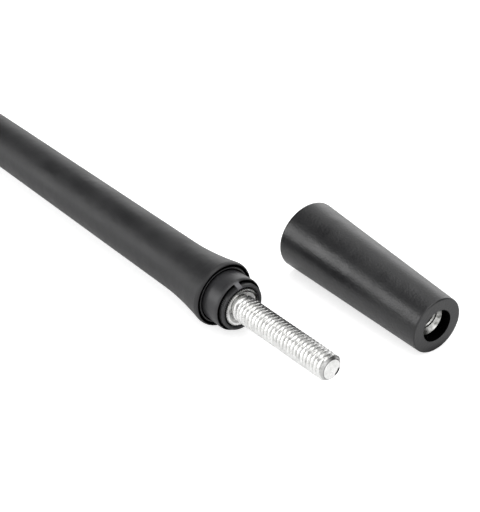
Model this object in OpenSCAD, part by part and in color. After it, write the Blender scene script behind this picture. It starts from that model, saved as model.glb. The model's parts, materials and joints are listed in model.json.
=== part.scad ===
// Car mast aerial: a tapered rubber mast with a screw stud, and its screw-on adapter sleeve lying beside it.
// Millimetres. The origin is the middle of the seat face that the stud stands out of.
// The mast runs towards -X, the stud towards +X, and +Z is up.

/* [Mast] */
// Length of the rubber sheath, from its closed tip to its rim
sheath_len = 380; // [200:5:600]
// Sheath diameter just behind the round tip
sheath_tip_d = 7.4; // [6.8:0.1:9]
// Sheath diameter where the flare starts
sheath_base_d = 11.74; // [11:0.02:12.6]
// Length over which the sheath flares out to its rim
flare_len = 14; // [11:0.5:20]
// Largest diameter of the flare, near the rim
rim_d = 14.8; // [14.8:0.1:15.6]
// How late the flare opens: 1 is a plain cone, more is later
flare_power = 1.6; // [1.2:0.1:2.4]
// Length of the rolled lip in front of the largest diameter
lip_len = 1; // [0.6:0.1:1.6]
// How far the rolled lip turns in
lip_roll = 0.3; // [0.1:0.02:0.32]
// Diameter of the sheath's open mouth
mouth_d = 14.1; // [13.8:0.05:14.15]
// Depth of the open groove in the mouth
mouth_groove = 2.2; // [1.6:0.1:2.5]

/* [Collar] */
// How far the collar stands out of the rim
collar_out = 6; // [4:0.25:9]
// Collar diameter at the rim
collar_neck_d = 11.7; // [11.4:0.05:11.8]
// Collar diameter near its front
collar_d = 11.96; // [11.9:0.02:12.1]
// How far the collar keeps its neck diameter behind the rim
collar_neck_in = 2.5; // [2:0.1:3]
// Diameter of the collar's shank inside the mast
shank_d = 8.6; // [7.4:0.1:8.8]
// Length of the cone between the neck and the shank
shank_cone = 7.5; // [6:0.5:10]
// Length of the shank behind that cone
shank_len = 9; // [6:0.5:14]
// Diameter of the raised land round the insert
land_d = 10.6; // [10.1:0.05:10.9]
// How far the land stands out of the shoulder's crest
land_step = 1.15; // [0.8:0.05:1.5]
// Length over which the shoulder rounds off behind its crest
shoulder_len = 0.85; // [0.3:0.05:1.2]
// Width of the groove between the shoulder and the land
groove_w = 0.4; // [0.2:0.05:0.45]
// Depth of that groove behind the shoulder's crest
groove_depth = 1; // [0.3:0.1:1.2]
// Width of the bevel between the land and the insert
bevel = 0.55; // [0.2:0.05:0.6]
// Width of the moulded web that bridges the groove
web_w = 1.1; // [0.6:0.1:2]
// Clock angle of that web, from +Y up towards +Z
web_angle = 97; // [0:1:359]
// Number of small ribs on the land's wall
ribs = 4; // [1:1:8]
// Clock angle of the first rib
rib_angle = 143; // [0:1:359]

/* [Insert and stud] */
// Nominal thread diameter
thread_d = 6; // [5:0.5:6]
// Diameter over the insert's teeth
knurl_d = 8.5; // [8.3:0.05:8.6]
// Depth of the teeth
knurl_depth = 0.28; // [0.15:0.01:0.35]
// Number of teeth round the insert
knurl_teeth = 56; // [36:1:72]
// Length of the insert in the collar
insert_len = 12; // [9:0.5:14]
// Width of the countersink at the insert's mouth
countersink = 0.6; // [0.2:0.02:0.7]
// How far the stud stands out of the seat face
stud_out = 27.8; // [12:0.2:32]
// Width of the bevel at the stud's ends
stud_bevel = 0.72; // [0.4:0.02:0.9]
// Length of the stud's undercut inside the insert's mouth
stud_relief = 1.2; // [0.8:0.1:2]

/* [Inside the mast] */
// Diameter of the glass-fibre rod
rod_d = 3; // [2:0.1:3.2]
// Diameter of the aerial wire
wire_d = 0.7; // [0.4:0.05:0.8]
// Distance between two turns of the wire
wire_pitch = 8; // [6:0.5:14]
// Wall of the shrink tube over the winding and the collar
tube_wall = 0.3; // [0.2:0.02:0.35]
// How far the tube stands off the collar at its cut end
tube_stand = 0.25; // [0.1:0.05:0.3]
// Solid rubber beyond the inner parts at the tip
tip_rubber = 6; // [4:0.5:12]
// Length of the cap on the rod's far end
tip_cap_len = 7; // [4:0.5:10]
// End wall of the cap and of the ferrule
end_wall = 1; // [0.6:0.1:1.5]
// Outer diameter of the ferrule's barrel
ferrule_d = 5; // [4.8:0.1:5.4]
// Length of the ferrule's barrel
ferrule_len = 15; // [12:0.5:20]
// Thickness of the ferrule's flange
ferrule_flange = 1; // [0.6:0.1:1.5]
// Number of crimps in the ferrule's barrel
crimps = 3; // [1:1:4]
// Length of each solder joint
solder_len = 1.5; // [1:0.1:2.5]

/* [Adapter sleeve] */
// Length of the sleeve
sleeve_len = 42.2; // [36:0.2:50]
// Diameter of the large end, which meets the rim
sleeve_large_d = 15.94; // [15:0.02:17]
// Diameter of the small end
sleeve_small_d = 12.92; // [12:0.02:13.6]
// Round on the large end's outer edge
sleeve_large_round = 0.7; // [0.3:0.05:1]
// Round on the small end's outer edge
sleeve_small_round = 0.3; // [0.1:0.05:0.6]
// Depth of the socket for the collar beyond the collar's own length
socket_spare = 0.3; // [0.1:0.05:1]
// Diameter of the mouth at the small end
sleeve_mouth_d = 7.44; // [7:0.02:8]
// Depth of that mouth, in front of the metal insert
sleeve_mouth_depth = 2.4; // [1:0.1:4]
// Length of the sleeve's metal insert
sleeve_insert_len = 20; // [14:0.5:22]
// Place of the small end's middle along the mast
sleeve_x = 29.47; // [20:0.01:60]
// Place of the small end's middle across the mast
sleeve_y = 27.64; // [20:0.01:60]
// Turn of the sleeve on the ground
sleeve_turn = -1.8; // [-20:0.1:20]

/* [Hidden] */
$fn = 96;

// clearances, all radial
fit = 0.03;
wire_fit = 0.08;
ferrule_fit = 0.1;
socket_fit = 0.2;
passage_fit = 0.4;
// how far a cutting shape runs past the face that it cuts
over = 0.1;

// stations along the mast, from the seat face at 0
rim_x = -collar_out;
flare_x = rim_x - flare_len;
tip_x = rim_x - sheath_len;
neck_x = rim_x - collar_neck_in;
shank_x = neck_x - shank_cone;
shank_end_x = shank_x - shank_len;
flange_x = -insert_len;
barrel_x = flange_x - ferrule_flange;
barrel_end_x = barrel_x - ferrule_len;
winding_x = barrel_end_x - solder_len;
core_end_x = tip_x + tip_rubber;
cap_mouth_x = core_end_x + tip_cap_len;
winding_end_x = cap_mouth_x + solder_len;

// radii
tip_r = sheath_tip_d / 2;
base_r = sheath_base_d / 2;
rim_r = rim_d / 2;
neck_r = collar_neck_d / 2;
front_r = collar_d / 2;
land_r = land_d / 2;
shank_r = shank_d / 2;
rod_r = rod_d / 2;
coil_r = rod_r + wire_fit + wire_d / 2;
winding_r = coil_r + wire_d / 2;
barrel_r = ferrule_d / 2;
knurl_r = knurl_d / 2;
knurl_root_r = knurl_r - knurl_depth;
flange_r = knurl_root_r - 0.2;
thread_r = thread_d / 2;
// a stud's crests lie a little under the nominal size, and a tapped hole's half a pitch or so inside it
stud_r = thread_r - 0.05;
tapped_r = thread_r - 0.5;

// the line that the shrink tube lies on, as [radius, x], from its cut end in the mouth to the tip
tube_ease = 2.5;
tube_line = [
    [neck_r + tube_stand, rim_x - over],
    [neck_r, neck_x],
    [shank_r, shank_x],
    [shank_r, shank_end_x],
    [barrel_r + ferrule_fit, shank_end_x - tube_ease],
    [barrel_r + ferrule_fit, winding_x],
    [winding_r, winding_x - tube_ease],
    [winding_r, core_end_x]
];

// the sleeve as it lies: its lowest line is on the ground, so its axis dips by half of its taper
large_r = sleeve_large_d / 2;
small_r = sleeve_small_d / 2;
half_taper = atan((large_r - small_r) / (sleeve_len - sleeve_large_round - sleeve_small_round));
sleeve_z = small_r * cos(half_taper) - sleeve_small_round * sin(half_taper) - rim_r;

function widened(line, by) = [for (p = line) [p[0] + by, p[1]]];
function reversed(line) = [for (i = [len(line) - 1 : -1 : 0]) line[i]];

// points on an arc round [cx, cy], with its own radius each way
function arc(cx, cy, rx, ry, from, to, steps) =
    [for (i = [0 : steps]) let (a = from + (to - from) * i / steps) [cx + rx * cos(a), cy + ry * sin(a)]];

// the flare's outline, from its start to its largest radius
function flare(steps) =
    [for (i = [0 : steps]) let (s = i / steps)
        [base_r + (rim_r - base_r) * pow(s, flare_power), flare_x + (flare_len - lip_len) * s]];

// the outline of a ring of pointed teeth
function teeth(crest, root, count) =
    [for (i = [0 : 2 * count - 1]) let (a = i * 180 / count, r = i % 2 == 0 ? crest : root)
        [r * cos(a), r * sin(a)]];

// turns what is made along Z on to the mast's axis: +Z becomes +X
module on_mast() {
    rotate([0, 90, 0]) children();
}

// lays what is made along Z beside the mast: 0 is the sleeve's small end, and +Z points out of it
module on_sleeve() {
    translate([sleeve_x, sleeve_y, sleeve_z])
        rotate([0, 90 + half_taper, sleeve_turn]) children();
}

// turns what points along +X to a clock angle round the mast's axis
module at_clock(angle) {
    rotate([0, 0, 90 + angle]) children();
}

// a solid of revolution from an outline of [radius, height]
module turned(outline) {
    rotate_extrude() polygon(outline);
}

// a round bar from one height to another
module bar(r, from, to) {
    translate([0, 0, from]) cylinder(r = r, h = to - from);
}

// the outside of a metal bush below height 0: two toothed bands with a plain stretch between them.
// With some spare it is the space that the bush takes up in its moulding
module bush_body(length, spare = 0) {
    plain = 1.6;
    band = (length - plain) / 2;
    bar(knurl_root_r - over + spare, -length - spare, spare);
    for (z = [-band, -length])
        translate([0, 0, z - spare]) linear_extrude(band + 2 * spare)
            polygon(teeth(knurl_r + spare, knurl_root_r + spare, knurl_teeth));
}

// a toothed metal bush with a countersunk mouth at height 0 and a hole right through
module toothed_bush(length, hole_r) {
    difference() {
        bush_body(length);
        bar(hole_r, -length - over, over);
        turned([[0, over], [hole_r + countersink + over, over], [hole_r, -countersink], [0, -countersink]]);
    }
}

// The rubber moulding: a closed round tip, a long taper, a flare and a rolled lip round its mouth
module mast_sheath() {
    tip_start = 15;
    outline = concat(
        [[0, tip_x]],
        arc(0, tip_x + tip_r, tip_r, tip_r, tip_start - 90, 0, 5),
        flare(10),
        arc(rim_r - lip_roll, rim_x - lip_len, lip_roll, lip_len, 90 / 5, 90, 4),
        [[0, rim_x]]);
    seat = widened(tube_line, tube_wall + 2 * fit);
    groove_floor_x = rim_x - mouth_groove;
    color([0.09, 0.09, 0.095]) on_mast() difference() {
        turned(outline);
        turned([[0, rim_x + over], [mouth_d / 2, rim_x + over], [mouth_d / 2, rim_x],
                [seat[0][0], groove_floor_x], [0, groove_floor_x]]);
        turned(concat([[0, rim_x + over], [seat[0][0], rim_x + over]], seat, [[0, core_end_x]]));
    }
}

// The tube shrunk over the winding and the collar: its cut end shows as a thin ring in the mouth
module shrink_tube() {
    color([0.16, 0.16, 0.165]) on_mast()
        turned(concat(widened(tube_line, fit), reversed(widened(tube_line, fit + tube_wall))));
}

// The plastic moulding that holds the insert: shank, cone, neck, shoulder, groove and raised land
module base_collar() {
    land_edge = 0.1;
    bevel_foot = 0.07;
    crest_round = 0.1;
    crest_x = -land_step;
    crest_r = land_r + groove_w + crest_round;
    floor_x = crest_x - groove_depth;
    outline = concat(
        [[0, shank_end_x], [shank_r, shank_end_x], [shank_r, shank_x], [neck_r, neck_x], [neck_r, rim_x]],
        arc(crest_r, crest_x - shoulder_len, front_r - crest_r, shoulder_len, 0, 90, 5),
        arc(crest_r, crest_x - crest_round, crest_round, crest_round, 120, 180, 2),
        [[land_r + groove_w, floor_x], [land_r, floor_x],
         [land_r, -land_edge], [land_r - land_edge, 0], [knurl_r + fit + bevel, 0],
         [knurl_r + fit + bevel_foot, -bevel], [0, -bevel]]);
    rib_w = 0.16;
    rib_h = 0.14;
    rib_step = 4;
    rib_drop = 0.4;
    color([0.13, 0.13, 0.135]) on_mast() difference() {
        union() {
            turned(outline);
            at_clock(web_angle) rotate([90, 0, 0])
                translate([0, 0, -web_w / 2]) linear_extrude(web_w)
                    polygon([[land_r - over, floor_x - over], [crest_r, floor_x - over],
                             [crest_r, crest_x], [land_r, -land_edge - over], [land_r - over, -land_edge - over]]);
            for (i = [0 : ribs - 1])
                at_clock(rib_angle + i * rib_step) translate([land_r - over, -rib_w / 2, floor_x - over])
                    cube([over + rib_h, rib_w, over - rib_drop - floor_x]);
        }
        bush_body(insert_len, fit);
        bar(flange_r + fit, barrel_x - fit, flange_x);
        bar(barrel_r + fit, shank_end_x - over, barrel_x);
    }
}

module knurled_insert() {
    color([0.82, 0.83, 0.85]) on_mast() toothed_bush(insert_len, thread_r);
}

// A double-ended stud: the undercut between its two threads is in the insert's mouth
module threaded_stud() {
    end_gap = 0.5;
    inner_x = flange_x + end_gap;
    color([0.84, 0.85, 0.87]) on_mast() turned([
        [0, inner_x], [stud_r - stud_bevel, inner_x], [stud_r, inner_x + stud_bevel],
        [stud_r, -stud_relief], [tapped_r, -stud_relief], [tapped_r, 0], [stud_r, 0],
        [stud_r, stud_out - stud_bevel], [stud_r - stud_bevel, stud_out], [0, stud_out]]);
}

// The brass ferrule crimped on the rod: its flange touches the insert
module crimp_ferrule() {
    crimp_depth = 0.2;
    crimp_w = 1.2;
    crimp_step = ferrule_len / (crimps + 1);
    color([0.78, 0.62, 0.30]) on_mast() difference() {
        union() {
            bar(flange_r, barrel_x, flange_x);
            bar(barrel_r, barrel_end_x, barrel_x);
        }
        bar(rod_r + fit, barrel_end_x - over, barrel_x - end_wall);
        for (i = [1 : crimps])
            translate([0, 0, barrel_x - i * crimp_step]) rotate_extrude()
                polygon([[barrel_r - crimp_depth, 0], [barrel_r + over, -crimp_w / 2], [barrel_r + over, crimp_w / 2]]);
    }
}

module core_rod() {
    color([0.86, 0.84, 0.72]) on_mast() bar(rod_r, core_end_x + end_wall, barrel_x - end_wall);
}

// The copper wire wound on the rod. A slice across a slanting wire is an oval, wider along the turn
module aerial_winding() {
    sides = 6;
    rings_per_turn = 12;
    rise = winding_x - winding_end_x;
    turns = rise / wire_pitch;
    rings = ceil(turns * rings_per_turn);
    slant = sqrt(1 + pow(2 * PI * coil_r / wire_pitch, 2));
    points = [for (i = [0 : rings]) let (a = 360 * turns * i / rings, z = winding_end_x + rise * i / rings)
        for (k = [0 : sides - 1])
            let (t = k * 360 / sides, u = coil_r + wire_d / 2 * cos(t), v = slant * wire_d / 2 * sin(t))
            [u * cos(a) - v * sin(a), u * sin(a) + v * cos(a), z]];
    start_face = [for (k = [0 : sides - 1]) k];
    end_face = [for (k = [sides - 1 : -1 : 0]) rings * sides + k];
    side_faces = [for (i = [0 : rings - 1]) for (k = [0 : sides - 1])
        let (p = i * sides + k, q = i * sides + (k + 1) % sides)
        for (face = [[p, p + sides, q + sides], [p, q + sides, q]]) face];
    color([0.72, 0.38, 0.20]) on_mast() polyhedron(points, concat([start_face], side_faces, [end_face]));
}

// The fillet of solder between the ferrule and the wire's start
module base_solder() {
    color([0.70, 0.71, 0.72]) on_mast()
        turned([[rod_r + fit, winding_x], [winding_r, winding_x],
                [barrel_r, barrel_end_x], [rod_r + fit, barrel_end_x]]);
}

// The ring of solder between the wire's end and the cap
module tip_solder() {
    color([0.70, 0.71, 0.72]) on_mast()
        turned([[rod_r + fit, cap_mouth_x], [winding_r, cap_mouth_x],
                [winding_r, winding_end_x], [rod_r + fit, winding_end_x]]);
}

// The brass cap that ends the winding at the rod's far end
module tip_cap() {
    color([0.78, 0.62, 0.30]) on_mast() difference() {
        bar(winding_r, core_end_x, cap_mouth_x);
        bar(rod_r + fit, core_end_x + end_wall, cap_mouth_x + over);
    }
}

// The adapter's tapered moulding: a socket for the collar, a passage for the stud and a small mouth
module adapter_sleeve() {
    outline = concat(
        [[0, -sleeve_len]],
        arc(large_r - sleeve_large_round, sleeve_large_round - sleeve_len,
            sleeve_large_round, sleeve_large_round, -90, 0, 6),
        arc(small_r - sleeve_small_round, -sleeve_small_round, sleeve_small_round, sleeve_small_round, 0, 90, 4),
        [[0, 0]]);
    insert_end = -sleeve_mouth_depth - sleeve_insert_len;
    socket_end = collar_out + socket_spare - sleeve_len;
    color([0.12, 0.12, 0.125]) on_sleeve() difference() {
        turned(outline);
        bar(sleeve_mouth_d / 2, -sleeve_mouth_depth - fit, over);
        bar(knurl_r + fit, insert_end - fit, -sleeve_mouth_depth + fit);
        bar(thread_r + passage_fit, -sleeve_len - over, insert_end);
        bar(front_r + socket_fit, -sleeve_len - over, socket_end);
    }
}

module adapter_insert() {
    color([0.80, 0.81, 0.83]) on_sleeve() translate([0, 0, -sleeve_mouth_depth])
        toothed_bush(sleeve_insert_len, tapped_r);
}

mast_sheath();
shrink_tube();
base_collar();
knurled_insert();
threaded_stud();
crimp_ferrule();
core_rod();
aerial_winding();
base_solder();
tip_solder();
tip_cap();
adapter_sleeve();
adapter_insert();
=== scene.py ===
import json
from math import cos, pi, radians, sin, tan

import bmesh
import bpy
from mathutils import Matrix, Vector


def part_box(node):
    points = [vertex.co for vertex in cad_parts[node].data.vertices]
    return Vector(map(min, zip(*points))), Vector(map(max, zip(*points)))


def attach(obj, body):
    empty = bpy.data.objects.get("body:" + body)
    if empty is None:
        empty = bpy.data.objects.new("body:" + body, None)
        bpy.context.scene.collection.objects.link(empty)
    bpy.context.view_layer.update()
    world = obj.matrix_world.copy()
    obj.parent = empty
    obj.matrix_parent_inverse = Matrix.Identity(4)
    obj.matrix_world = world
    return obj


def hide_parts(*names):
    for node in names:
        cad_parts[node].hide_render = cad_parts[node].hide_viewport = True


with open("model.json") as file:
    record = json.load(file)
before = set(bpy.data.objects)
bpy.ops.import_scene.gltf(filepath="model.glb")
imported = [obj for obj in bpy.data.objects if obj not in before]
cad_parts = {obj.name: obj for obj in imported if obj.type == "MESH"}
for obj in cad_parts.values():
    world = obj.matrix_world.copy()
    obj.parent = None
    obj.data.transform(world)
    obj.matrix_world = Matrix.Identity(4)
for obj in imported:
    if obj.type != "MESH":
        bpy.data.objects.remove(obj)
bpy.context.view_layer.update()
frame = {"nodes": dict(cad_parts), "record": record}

nodes = frame["nodes"]
MM = 0.001

# Threads, in metres: M6 with a pitch of 1 mm
PITCH = 1.0 * MM
THREAD_ANGLE = 60
THREAD_R = 3.0 * MM
TAPPED_R = 2.5 * MM
STUD_R = 2.95 * MM
STUD_BEVEL = 0.72 * MM
# The stud's plain stretch just inside the seat face
UNDERCUT_R = 2.4 * MM
UNDERCUT_LEN = 1.2 * MM
# Shares of the pitch that the crest and the root take, and the depth of the root's round
CREST_SHARE = 0.12
ROOT_SHARE = 0.16
ROOT_ROUND = 0.03
# Steps across the crest, across a flank and across half of the root
CREST_STEPS = 2
FLANK_STEPS = 4
ROOT_STEPS = 2
SPOKES = 72
# Turns by which a thread is made too long at each end, before it is cut
SPARE_TURNS = 2

# The toothed inserts
TEETH = 56
STEPS_PER_TOOTH = 8
TOOTH_CREST_R = 4.25 * MM
TOOTH_ROOT_R = 3.92 * MM
TOOTH_BEVEL = 0.04 * MM
# Power of the cosine that a tooth's outline follows
TOOTH_POWER = 1.1
PLAIN_R = 3.87 * MM
PLAIN_LEN = 1.6 * MM
COUNTERSINK = 0.6 * MM
MAST_INSERT_LEN = 12 * MM
SLEEVE_INSERT_LEN = 20 * MM

# Faces that meet at more than this many degrees have a sharp edge between them
SHARP_DEG = 40
# How far from a plane, in metres, a point still counts as on it
ON_PLANE = 1e-7

# Brightness of marked places, against that of the rest of their material: painted shade in the collar's
# groove, on its shoulder, in the sleeve's hole and on the stud's bevel, and a painted highlight on the web
GROOVE_SHADE_TONE = 0.35
WEB_HIGHLIGHT_TONE = 4.5
SHOULDER_SHADE_TONE = 0.3
HOLE_SHADE_TONE = 0.06
END_EDGE_TONE = 0.35
END_BEVEL_SHADE_TONE = 0.6
CHIP_TONE = 0.04
# Clock angles of the collar's web and their softness
WEB_CLOCK = (91, 103, 1)
# Distance from the sleeve's axis, in mm, over which the hole's painted shade gives way to the outside
HOLE_R = (3.73, 3.80)
COUNTERSINK_ROUGHNESS = 0.7
# Rays that feel how open a point is
OPENNESS_SAMPLES = 8

# The stretch of a noise's values that is used, and the whole stretch of a mask or of openness
NOISE_SPAN = (0.3, 0.7)
WHOLE_SPAN = (0, 1)

# The photograph's camera
PHOTO_H = 512
FOCAL_PX = 1600
SENSOR_MM = 36.0
CAMERA_AT = Vector((212.12, -174.32, 189.30)) * MM
CAMERA_AZ = radians(50.691)
CAMERA_EL = radians(32.744)
CLIP_NEAR = 0.01
CLIP_FAR = 50

# The ground, which both the rim and the sleeve touch
GROUND_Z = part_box("mast_sheath")[0].z
FLOOR_HALF = 4.0
FLOOR_WHITE = (0.8, 0.8, 0.8, 1)
# Brightness that the floor adds to its own for the camera, and for reflections
FLOOR_GLOW = 0.67
FLOOR_GLOW_REFLECTED = 0.20

# The tent is white but for three dim patches, behind the part, low down on the photograph's right and high
# up on its left, and two bright ones: overhead, and low down at the back.
# Each has a direction and its brightness at angles from there, as (cosine of the angle, brightness)
TENT_PATCHES = [
    ((-0.78, -0.09, 0.62), [(0.82, 1.0), (0.88, 0.4), (0.93, 0.0)]),
    ((0.58, 0.70, 0.38), [(0.72, 1.0), (0.86, 0.55), (0.95, 0.12)]),
    ((-0.16, 0.02, 0.98), [(0.87, 1.0), (0.93, 2.0), (0.97, 3.2)]),
    ((-0.62, 0.77, 0.10), [(0.88, 1.0), (0.95, 1.9), (1.0, 2.2)]),
    ((-0.33, -0.70, 0.63), [(0.90, 1.0), (0.96, 0.85), (0.98, 0.8)]),
]


# Materials

def principled(name):
    """A new material, its node tree and its shader node."""
    mat = bpy.data.materials.new(name)
    mat.use_nodes = True
    return mat, mat.node_tree, mat.node_tree.nodes["Principled BSDF"]


def noise(tree, scale, detail):
    """Noise in the part's own metres. scale is in waves per metre."""
    coords = tree.nodes.new("ShaderNodeTexCoord")
    tex = tree.nodes.new("ShaderNodeTexNoise")
    tex.inputs["Scale"].default_value = scale
    tex.inputs["Detail"].default_value = detail
    tree.links.new(coords.outputs["Object"], tex.inputs["Vector"])
    return tex.outputs["Fac"]


def ranged(tree, value, low, high, source):
    """The value mapped from the source range to low and high."""
    node = tree.nodes.new("ShaderNodeMapRange")
    node.inputs["From Min"].default_value = source[0]
    node.inputs["From Max"].default_value = source[1]
    node.inputs["To Min"].default_value = low
    node.inputs["To Max"].default_value = high
    tree.links.new(value, node.inputs["Value"])
    return node.outputs["Result"]


def two_tone(tree, value, dark, light):
    """A colour that wanders between two tones."""
    ramp = tree.nodes.new("ShaderNodeValToRGB")
    for stop, place, tone in zip(ramp.color_ramp.elements, NOISE_SPAN, (dark, light)):
        stop.position = place
        stop.color = (*tone, 1)
    tree.links.new(value, ramp.inputs["Fac"])
    return ramp.outputs["Color"]


def bump(tree, shader, layers):
    """Bumps from several heights. Each layer is (value, depth in mm)."""
    normal = None
    for value, depth in layers:
        node = tree.nodes.new("ShaderNodeBump")
        node.inputs["Strength"].default_value = 1.0
        node.inputs["Distance"].default_value = depth * MM
        tree.links.new(value, node.inputs["Height"])
        if normal is not None:
            tree.links.new(normal, node.inputs["Normal"])
        normal = node.outputs["Normal"]
    tree.links.new(normal, shader.inputs["Normal"])


def openness(tree, reach_mm, shut, open_):
    """How open a point is to its surroundings: 0 at the shut share of open sky, and 1 at the open_ share."""
    node = tree.nodes.new("ShaderNodeAmbientOcclusion")
    node.samples = OPENNESS_SAMPLES
    node.inputs["Distance"].default_value = reach_mm * MM
    return ranged(tree, node.outputs["AO"], 0, 1, (shut, open_))


def scaled(tree, colour, factor):
    """A colour multiplied by a factor."""
    node = tree.nodes.new("ShaderNodeVectorMath")
    node.operation = "SCALE"
    tree.links.new(colour, node.inputs[0])
    tree.links.new(factor, node.inputs["Scale"])
    return node.outputs["Vector"]


def combined(tree, operation, a, b=0):
    """Two values put together. Each may be a socket or a number."""
    node = tree.nodes.new("ShaderNodeMath")
    node.operation = operation
    for socket, value in zip(node.inputs, (a, b)):
        if isinstance(value, (int, float)):
            socket.default_value = value
        else:
            tree.links.new(value, socket)
    return node.outputs[0]


def band(tree, value, low, high, soft):
    """1 where the value is between low and high, and 0 further than soft beyond them."""
    away = combined(tree, "ABSOLUTE", combined(tree, "SUBTRACT", value, (low + high) / 2))
    half = (high - low) / 2
    return ranged(tree, away, 1, 0, (half, half + soft))


def round_the_axis(tree):
    """A point's place along the mast's axis, its distance from there, and its clock angle from +Y to +Z."""
    coords = tree.nodes.new("ShaderNodeTexCoord")
    split = tree.nodes.new("ShaderNodeSeparateXYZ")
    tree.links.new(coords.outputs["Object"], split.inputs[0])
    x, y, z = split.outputs
    squares = combined(tree, "ADD", combined(tree, "MULTIPLY", y, y), combined(tree, "MULTIPLY", z, z))
    return x, combined(tree, "SQRT", squares), combined(tree, "ARCTAN2", z, y)


def spot(tree, x=None, r=None, clock=None):
    """A mask of a place round the mast's axis. Each limit is (low, high, softness): x, and the distance r
    from the axis, in mm, and the clock angle in degrees."""
    values = round_the_axis(tree)
    mask = None
    for value, limit, unit in zip(values, (x, r, clock), (MM, MM, radians(1))):
        if limit is None:
            continue
        part = band(tree, value, *[number * unit for number in limit])
        mask = part if mask is None else combined(tree, "MULTIPLY", mask, part)
    return mask


def tinted(tree, shader, factor, mask):
    """Multiplies the shader's colour by a factor where the mask is 1."""
    base = shader.inputs["Base Color"]
    change = ranged(tree, mask, 1, factor, WHOLE_SPAN)
    tree.links.new(scaled(tree, base.links[0].from_socket, change), base)


def dulled(tree, shader, factor, mask):
    """Multiplies the shader's colour and its shine by a factor where the mask is 1."""
    tinted(tree, shader, factor, mask)
    shine = shader.inputs["Specular IOR Level"]
    change = ranged(tree, mask, 1, factor, WHOLE_SPAN)
    tree.links.new(combined(tree, "MULTIPLY", shine.links[0].from_socket, change), shine)


def black_moulding(name, dark, light, rough, grain_mm, grain_depth, wave_mm, wave_depth, reach_mm, gloss):
    """A black moulded surface: fine grain, a slower waviness, and patches that differ a little in tone and
    roughness. What lies within reach_mm of other walls is dull and darker: painted shade. Depths are in mm."""
    mat, tree, shader = principled(name)
    patches = noise(tree, scale=120, detail=4)
    grain = noise(tree, scale=1 / (grain_mm * MM), detail=2)
    waves = noise(tree, scale=1 / (wave_mm * MM), detail=1)
    # Painted shade: colour and shine fall off in grooves and corners, by how open each point is
    clear = openness(tree, reach_mm, shut=0.35, open_=0.9)
    tree.links.new(scaled(tree, two_tone(tree, patches, dark, light), clear), shader.inputs["Base Color"])
    tree.links.new(ranged(tree, clear, 0, gloss, WHOLE_SPAN), shader.inputs["Specular IOR Level"])
    tree.links.new(ranged(tree, patches, *rough, NOISE_SPAN), shader.inputs["Roughness"])
    bump(tree, shader, [(waves, wave_depth), (grain, grain_depth)])
    return mat


def grained(name, dark, light, rough, grain_mm, grain_depth, patch_scale):
    """A surface with fine scratches or grain, and patches of two tones. The depth is in mm."""
    mat, tree, shader = principled(name)
    patches = noise(tree, scale=patch_scale, detail=4)
    grain = noise(tree, scale=1 / (grain_mm * MM), detail=2)
    tree.links.new(two_tone(tree, patches, dark, light), shader.inputs["Base Color"])
    tree.links.new(ranged(tree, grain, *rough, NOISE_SPAN), shader.inputs["Roughness"])
    bump(tree, shader, [(grain, grain_depth)])
    return mat


def metal(name, dark, light, rough, grain_mm, grain_depth, root_shade_tone=1, reach_mm=0.6):
    """A metal. The root tone is the brightness left in its grooves, within reach_mm of their walls: painted
    shade.
    """
    mat = grained(name, dark, light, rough, grain_mm, grain_depth, patch_scale=900)
    tree = mat.node_tree
    shader = tree.nodes["Principled BSDF"]
    shader.inputs["Metallic"].default_value = 1.0
    # Painted shade in the grooves
    if root_shade_tone < 1:
        clear = openness(tree, reach_mm, shut=0.4, open_=0.8)
        tinted(tree, shader, root_shade_tone, combined(tree, "SUBTRACT", 1, clear))
    return mat


def mark_collar(mat):
    """Painted shade darkens the groove's walls, a painted highlight makes the web across it pale, and
    painted shade dulls the shoulder right of the web.
    """
    tree = mat.node_tree
    shader = tree.nodes["Principled BSDF"]
    # Painted shade on the groove's walls, beside the web
    groove = spot(tree, x=(-2.4, -0.25, 0.15), r=(5.25, 5.72, 0.05))
    beside_web = combined(tree, "SUBTRACT", 1, spot(tree, clock=WEB_CLOCK))
    tinted(tree, shader, GROOVE_SHADE_TONE, combined(tree, "MULTIPLY", groove, beside_web))
    # Painted highlight on the web
    web = spot(tree, x=(-1.6, 0.1, 0.2), r=(4.95, 5.8, 0.15), clock=WEB_CLOCK)
    tinted(tree, shader, WEB_HIGHLIGHT_TONE, web)
    # Painted shade on the shoulder right of the web, in colour and shine
    shoulder = spot(tree, x=(-1.7, -0.9, 0.5), r=(5.45, 6.1, 0.1), clock=(50, 82, 10))
    dulled(tree, shader, SHOULDER_SHADE_TONE, shoulder)


def mark_insert(mat):
    """The countersink is rougher than the rest."""
    tree = mat.node_tree
    cone_r = (THREAD_R / MM, (THREAD_R + COUNTERSINK) / MM, 0.03)
    cone = spot(tree, x=(-COUNTERSINK / MM, 0, 0.1), r=cone_r)
    rough = tree.nodes["Principled BSDF"].inputs["Roughness"]
    least = ranged(tree, cone, 0, COUNTERSINK_ROUGHNESS, WHOLE_SPAN)
    tree.links.new(combined(tree, "MAXIMUM", rough.links[0].from_socket, least), rough)


def mark_stud_end(mat):
    """The end face's edge is darker, its bevel is duller with painted shade, and a dark chip lies beside the
    edge.
    """
    tree = mat.node_tree
    shader = tree.nodes["Principled BSDF"]
    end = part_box("threaded_stud")[1].x / MM
    face = (end - 0.12, end, 0.05)
    tinted(tree, shader, END_EDGE_TONE, spot(tree, x=face, r=(2.17, 2.27, 0.05)))
    # Painted shade on the bevel, for the shaded floor that it faces
    tinted(tree, shader, END_BEVEL_SHADE_TONE, spot(tree, x=(end - 0.5, end, 0.2), r=(2.25, 3.2, 0.03)))
    tinted(tree, shader, CHIP_TONE, spot(tree, x=face, r=(1.75, 2.25, 0.08), clock=(-58, -18, 8)))


def sleeve_insert_place():
    """Where the face of the sleeve's insert is, and how it points: from the mount on its thread."""
    mount = next(m for m in frame["record"]["mounts"] if m["name"] == "sleeve_thread")
    axis = Vector(mount["axis"]).normalized()
    face = Vector(mount["pos_m"]) + axis * (mount["dims"]["length_mm"] * MM / 2 + COUNTERSINK)
    return Matrix.Translation(face) @ axis.to_track_quat("X", "Z").to_matrix().to_4x4()


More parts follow.
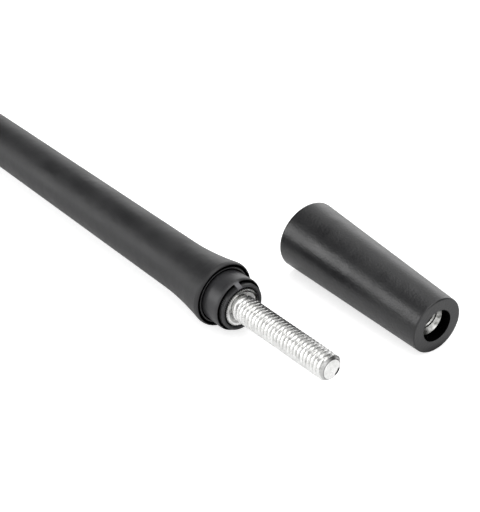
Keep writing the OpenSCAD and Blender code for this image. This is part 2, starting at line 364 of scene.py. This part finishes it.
def mark_sleeve(mat):
    """Painted shade: the walls of the sleeve's hole are dull and almost black."""
    tree = mat.node_tree
    place = sleeve_insert_place()
    coords = tree.nodes.new("ShaderNodeTexCoord")
    arm = tree.nodes.new("ShaderNodeVectorMath")
    arm.operation = "SUBTRACT"
    tree.links.new(coords.outputs["Object"], arm.inputs[0])
    arm.inputs[1].default_value = place.translation
    across = tree.nodes.new("ShaderNodeVectorMath")
    across.operation = "CROSS_PRODUCT"
    tree.links.new(arm.outputs["Vector"], across.inputs[0])
    across.inputs[1].default_value = place.col[0].to_3d()
    length = tree.nodes.new("ShaderNodeVectorMath")
    length.operation = "LENGTH"
    tree.links.new(across.outputs["Vector"], length.inputs[0])
    # Painted shade inside the hole
    mask = ranged(tree, length.outputs["Value"], 1, 0, [r * MM for r in HOLE_R])
    dulled(tree, tree.nodes["Principled BSDF"], HOLE_SHADE_TONE, mask)


# Each moulding is darker and duller within reach_mm of other walls, which is painted shade
rubber = black_moulding("sheath_rubber", dark=(0.010, 0.010, 0.011), light=(0.020, 0.020, 0.021),
                        rough=(0.41, 0.54), grain_mm=0.30, grain_depth=0.012, wave_mm=2.6, wave_depth=0.100,
                        reach_mm=1.2, gloss=0.42)
collar_plastic = black_moulding("collar_plastic", dark=(0.026, 0.026, 0.028), light=(0.034, 0.034, 0.036),
                                rough=(0.36, 0.44), grain_mm=0.12, grain_depth=0.004, wave_mm=1.4,
                                wave_depth=0.030, reach_mm=0.8, gloss=0.42)
tube_plastic = black_moulding("tube_plastic", dark=(0.05, 0.05, 0.052), light=(0.065, 0.065, 0.067),
                              rough=(0.34, 0.42), grain_mm=0.10, grain_depth=0.003, wave_mm=1.0,
                              wave_depth=0.008, reach_mm=1.0, gloss=0.5)
sleeve_plastic = black_moulding("sleeve_plastic", dark=(0.006, 0.006, 0.007), light=(0.009, 0.009, 0.010),
                                rough=(0.29, 0.37), grain_mm=0.42, grain_depth=0.040, wave_mm=3.6,
                                wave_depth=0.08, reach_mm=3.0, gloss=0.59)
# The metals' grooves keep only part of their brightness: painted shade
zinc = metal("stud_zinc", dark=(0.73, 0.73, 0.72), light=(0.95, 0.95, 0.94), rough=(0.18, 0.30),
             grain_mm=0.70, grain_depth=0.052, root_shade_tone=0.70)
insert_metal = metal("insert_metal", dark=(0.88, 0.88, 0.87), light=(0.96, 0.96, 0.95), rough=(0.20, 0.34),
                     grain_mm=0.10, grain_depth=0.003, root_shade_tone=0.9)
# A darker copy of the insert metal for the insert deep in the sleeve's hole: its dark tones and deep groove
# darkening are painted shade
hole_shaded_metal = metal("insert_metal_recessed_painted_shade", dark=(0.16, 0.16, 0.15), light=(0.82, 0.82, 0.80),
                       rough=(0.24, 0.40), grain_mm=0.10, grain_depth=0.004, root_shade_tone=0.15, reach_mm=2.6)
brass = metal("ferrule_brass", dark=(0.66, 0.47, 0.20), light=(0.76, 0.57, 0.27), rough=(0.22, 0.36),
              grain_mm=0.20, grain_depth=0.003)
copper = metal("wire_copper", dark=(0.60, 0.25, 0.12), light=(0.74, 0.36, 0.20), rough=(0.20, 0.32),
               grain_mm=0.20, grain_depth=0.002)
solder = metal("solder", dark=(0.52, 0.53, 0.55), light=(0.66, 0.67, 0.69), rough=(0.30, 0.50),
               grain_mm=0.30, grain_depth=0.010)
glass_fibre = grained("glass_fibre", dark=(0.60, 0.56, 0.40), light=(0.70, 0.67, 0.52), rough=(0.40, 0.55),
                      grain_mm=0.20, grain_depth=0.003, patch_scale=400)
mark_collar(collar_plastic)
mark_sleeve(sleeve_plastic)
mark_insert(insert_metal)
mark_stud_end(zinc)

NODE_MATERIALS = {
    "mast_sheath": rubber,
    "shrink_tube": tube_plastic,
    "base_collar": collar_plastic,
    "knurled_insert": insert_metal,
    "crimp_ferrule": brass,
    "core_rod": glass_fibre,
    "aerial_winding": copper,
    "base_solder": solder,
    "tip_solder": solder,
    "tip_cap": brass,
    "adapter_sleeve": sleeve_plastic,
    "threaded_stud": zinc,
    "adapter_insert": hole_shaded_metal,
}
for node_name, mat in NODE_MATERIALS.items():
    obj = nodes[node_name]
    obj.data.materials.clear()
    obj.data.materials.append(mat)


# Meshes

def object_from(bm, name, mat):
    """An object with smooth faces, and sharp edges where two faces meet at a sharp angle."""
    bmesh.ops.recalc_face_normals(bm, faces=bm.faces)
    for face in bm.faces:
        face.smooth = True
    for edge in bm.edges:
        edge.smooth = len(edge.link_faces) == 2 and edge.calc_face_angle(0) < radians(SHARP_DEG)
    mesh = bpy.data.meshes.new(name)
    bm.to_mesh(mesh)
    bm.free()
    mesh.materials.append(mat)
    obj = bpy.data.objects.new(name, mesh)
    bpy.context.scene.collection.objects.link(obj)
    return obj


def thread_rows():
    """One pitch of the thread, from one crest edge to the next, as (share of the pitch, depth under the
    crest)."""
    flank = (1 - CREST_SHARE - ROOT_SHARE) / 2
    depth = flank * PITCH / tan(radians(THREAD_ANGLE / 2))
    half_root = ROOT_SHARE / 2
    middle = CREST_SHARE + flank + half_root
    rows = [(CREST_SHARE * i / CREST_STEPS, 0) for i in range(CREST_STEPS)]
    for i in range(FLANK_STEPS):
        rows.append((CREST_SHARE + flank * i / FLANK_STEPS, depth * i / FLANK_STEPS))
    for i in range(-ROOT_STEPS, ROOT_STEPS + 1):
        part = i / ROOT_STEPS
        rows.append((middle + half_root * part, depth + ROOT_ROUND * PITCH * (1 - part ** 2)))
    for i in range(1, FLANK_STEPS):
        part = i / FLANK_STEPS
        rows.append((middle + half_root + flank * part, depth * (1 - part)))
    return rows


def threaded_surface(start, end, radius_at):
    """An open tube along X. Its rows follow a right-hand helix, so that a thread's crests are clean lines.
    radius_at gives the radius from a row's depth under the crest and its x."""
    bm = bmesh.new()
    rows = thread_rows()
    per_pitch = len(rows)
    grid = []
    for turn in range(int(start / PITCH) - SPARE_TURNS, int(end / PITCH) + SPARE_TURNS + 1):
        for share, depth in rows:
            ring = []
            for j in range(SPOKES):
                x = (turn + share + j / SPOKES) * PITCH
                angle = 2 * pi * j / SPOKES
                r = radius_at(depth, x)
                ring.append(bm.verts.new((x, r * cos(angle), r * sin(angle))))
            grid.append(ring)
    for i in range(len(grid) - per_pitch - 1):
        for j in range(SPOKES):
            a, b = grid[i][j], grid[i + 1][j]
            if j + 1 < SPOKES:
                c, d = grid[i + 1][j + 1], grid[i][j + 1]
            else:
                c, d = grid[i + 1 + per_pitch][0], grid[i + per_pitch][0]
            bm.faces.new((a, b, c, d))
    for x, side in ((start, -1), (end, 1)):
        whole = bm.verts[:] + bm.edges[:] + bm.faces[:]
        bmesh.ops.bisect_plane(bm, geom=whole, plane_co=(x, 0, 0), plane_no=(side, 0, 0), clear_outer=True)
    loose = [v for v in bm.verts if not v.link_faces]
    bmesh.ops.delete(bm, geom=loose, context="VERTS")
    return bm


def close_end(bm, x):
    """Fills the flat end at x, round any hole in it."""
    rim = [e for e in bm.edges if e.is_boundary and all(abs(v.co.x - x) < ON_PLANE for v in e.verts)]
    bmesh.ops.triangle_fill(bm, use_beauty=True, use_dissolve=False, edges=rim, normal=(1, 0, 0))


def dress(bm, name, mat, node_name):
    """Makes the object that replaces a rigid solid."""
    obj = object_from(bm, name, mat)
    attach(obj, "root")
    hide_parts(node_name)


def make_stud():
    """The zinc-plated stud with its thread, in the place and size of its solid."""
    low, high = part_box("threaded_stud")
    end_r = STUD_R - STUD_BEVEL

    def radius_at(depth, x):
        # Beyond the ends, in the turns that are cut off, the bevel's cone stops at half the end's radius
        bevel = end_r + max(min(x - low.x, high.x - x), -end_r / 2)
        undercut = UNDERCUT_R if -UNDERCUT_LEN < x < 0 else STUD_R
        return min(STUD_R - depth, bevel, undercut)

    bm = threaded_surface(low.x, high.x, radius_at)
    for x in (low.x, high.x):
        close_end(bm, x)
    dress(bm, "stud_thread", zinc, "threaded_stud")


def tooth_height(turn):
    """The outline of a round-topped tooth: 1 on its crest and 0 in the sharp gap between two."""
    return abs(cos(pi * turn * TEETH)) ** TOOTH_POWER


def toothed_tube(bm, length):
    """Adds the outside of an insert along X, from -length to 0: two toothed bands with a plain stretch
    between them."""
    toothed = (length - PLAIN_LEN) / 2
    full, cut = TOOTH_CREST_R, TOOTH_CREST_R - TOOTH_BEVEL
    stations = [(-length, cut), (TOOTH_BEVEL - length, full), (toothed - length, full),
                (toothed - length, PLAIN_R), (-toothed, PLAIN_R), (-toothed, full), (-TOOTH_BEVEL, full),
                (0, cut)]
    around = TEETH * STEPS_PER_TOOTH
    rings = []
    for x, crest in stations:
        root = min(TOOTH_ROOT_R, crest)
        ring = []
        for k in range(around):
            turn = k / around
            r = root + (crest - root) * tooth_height(turn)
            ring.append(bm.verts.new((x, r * cos(2 * pi * turn), r * sin(2 * pi * turn))))
        rings.append(ring)
    for ring, following in zip(rings, rings[1:]):
        for k in range(around):
            after = (k + 1) % around
            bm.faces.new((ring[k], following[k], following[after], ring[after]))


def make_insert(node_name, length, matrix, mat):
    """A toothed metal insert with its internal thread. matrix puts its face, at 0, and its axis, +X, in
    place."""
    def radius_at(depth, x):
        return max(TAPPED_R, THREAD_R - depth, THREAD_R + COUNTERSINK + x)

    bm = threaded_surface(-length, 0, radius_at)
    toothed_tube(bm, length)
    for x in (-length, 0):
        close_end(bm, x)
    bm.transform(matrix)
    dress(bm, node_name + "_thread", mat, node_name)


make_stud()
make_insert("knurled_insert", MAST_INSERT_LEN, Matrix.Identity(4), insert_metal)
make_insert("adapter_insert", SLEEVE_INSERT_LEN, sleeve_insert_place(), hole_shaded_metal)


# The stage

def add_floor():
    """A white floor that shows only the part's contact shadows. Reflections see it a little dimmer."""
    bm = bmesh.new()
    corners = [(-FLOOR_HALF, -FLOOR_HALF), (FLOOR_HALF, -FLOOR_HALF), (FLOOR_HALF, FLOOR_HALF),
               (-FLOOR_HALF, FLOOR_HALF)]
    bm.faces.new([bm.verts.new((x, y, GROUND_Z)) for x, y in corners])
    mat = bpy.data.materials.new("floor_white")
    mat.use_nodes = True
    tree = mat.node_tree
    tree.nodes.clear()
    out = tree.nodes.new("ShaderNodeOutputMaterial")
    diffuse = tree.nodes.new("ShaderNodeBsdfDiffuse")
    diffuse.inputs["Color"].default_value = FLOOR_WHITE
    path = tree.nodes.new("ShaderNodeLightPath")
    surface = diffuse.outputs[0]
    for ray, level in (("Is Camera Ray", FLOOR_GLOW), ("Is Glossy Ray", FLOOR_GLOW_REFLECTED)):
        glow = tree.nodes.new("ShaderNodeEmission")
        tree.links.new(combined(tree, "MULTIPLY", path.outputs[ray], level), glow.inputs["Strength"])
        both = tree.nodes.new("ShaderNodeAddShader")
        tree.links.new(surface, both.inputs[0])
        tree.links.new(glow.outputs[0], both.inputs[1])
        surface = both.outputs[0]
    tree.links.new(surface, out.inputs["Surface"])
    floor = object_from(bm, "floor", mat)


def add_world():
    """A light tent: white to the camera, and to the part white with dim and bright patches."""
    world = bpy.data.worlds.new("tent")
    bpy.context.scene.world = world
    world.use_nodes = True
    tree = world.node_tree
    tree.nodes.clear()
    out = tree.nodes.new("ShaderNodeOutputWorld")
    tent = tree.nodes.new("ShaderNodeBackground")
    white = tree.nodes.new("ShaderNodeBackground")
    white.inputs["Color"].default_value = (1, 1, 1, 1)
    mix = tree.nodes.new("ShaderNodeMixShader")
    path = tree.nodes.new("ShaderNodeLightPath")
    coords = tree.nodes.new("ShaderNodeTexCoord")
    level = None
    for towards, levels in TENT_PATCHES:
        closeness = tree.nodes.new("ShaderNodeVectorMath")
        closeness.operation = "DOT_PRODUCT"
        closeness.inputs[1].default_value = Vector(towards).normalized()
        tree.links.new(coords.outputs["Generated"], closeness.inputs[0])
        ramp = tree.nodes.new("ShaderNodeValToRGB")
        stops = ramp.color_ramp.elements
        while len(stops) < len(levels):
            stops.new(0.5)
        for stop, (place, grey) in zip(stops, levels):
            stop.position = place
            stop.color = (grey, grey, grey, 1)
        tree.links.new(closeness.outputs["Value"], ramp.inputs["Fac"])
        if level is None:
            level = ramp.outputs["Color"]
        else:
            both = tree.nodes.new("ShaderNodeVectorMath")
            both.operation = "MULTIPLY"
            tree.links.new(level, both.inputs[0])
            tree.links.new(ramp.outputs["Color"], both.inputs[1])
            level = both.outputs["Vector"]
    tree.links.new(level, tent.inputs["Color"])
    tree.links.new(path.outputs["Is Camera Ray"], mix.inputs["Fac"])
    tree.links.new(tent.outputs[0], mix.inputs[1])
    tree.links.new(white.outputs[0], mix.inputs[2])
    tree.links.new(mix.outputs[0], out.inputs["Surface"])


def add_lamp(name, place_mm, width_mm, height_mm, watts):
    """A softbox that faces the origin."""
    data = bpy.data.lights.new(name, "AREA")
    data.shape = "RECTANGLE"
    data.size = width_mm * MM
    data.size_y = height_mm * MM
    data.energy = watts
    lamp = bpy.data.objects.new(name, data)
    bpy.context.scene.collection.objects.link(lamp)
    lamp.location = Vector(place_mm) * MM
    lamp.rotation_euler = (-lamp.location).to_track_quat("-Z", "Y").to_euler()


def add_camera():
    """The photograph's camera. back points from the part to the camera."""
    data = bpy.data.cameras.new("camera")
    data.sensor_fit = "VERTICAL"
    data.sensor_height = SENSOR_MM
    data.lens = FOCAL_PX * SENSOR_MM / PHOTO_H
    data.clip_start = CLIP_NEAR
    data.clip_end = CLIP_FAR
    camera = bpy.data.objects.new("camera", data)
    bpy.context.scene.collection.objects.link(camera)
    back = Vector((sin(CAMERA_AZ) * cos(CAMERA_EL), -cos(CAMERA_AZ) * cos(CAMERA_EL), sin(CAMERA_EL)))
    right = Vector((0, 0, 1)).cross(back).normalized()
    up = back.cross(right)
    turn = Matrix((right, up, back)).transposed().to_4x4()
    camera.matrix_world = Matrix.Translation(CAMERA_AT) @ turn
    bpy.context.scene.camera = camera


add_floor()
add_world()
add_lamp("softbox_left", place_mm=(-530, -590, 180), width_mm=260, height_mm=620, watts=1.9)
add_lamp("softbox_front", place_mm=(600, -80, 90), width_mm=350, height_mm=350, watts=0.5)
add_camera()
bpy.context.scene.view_settings.view_transform = "Standard"
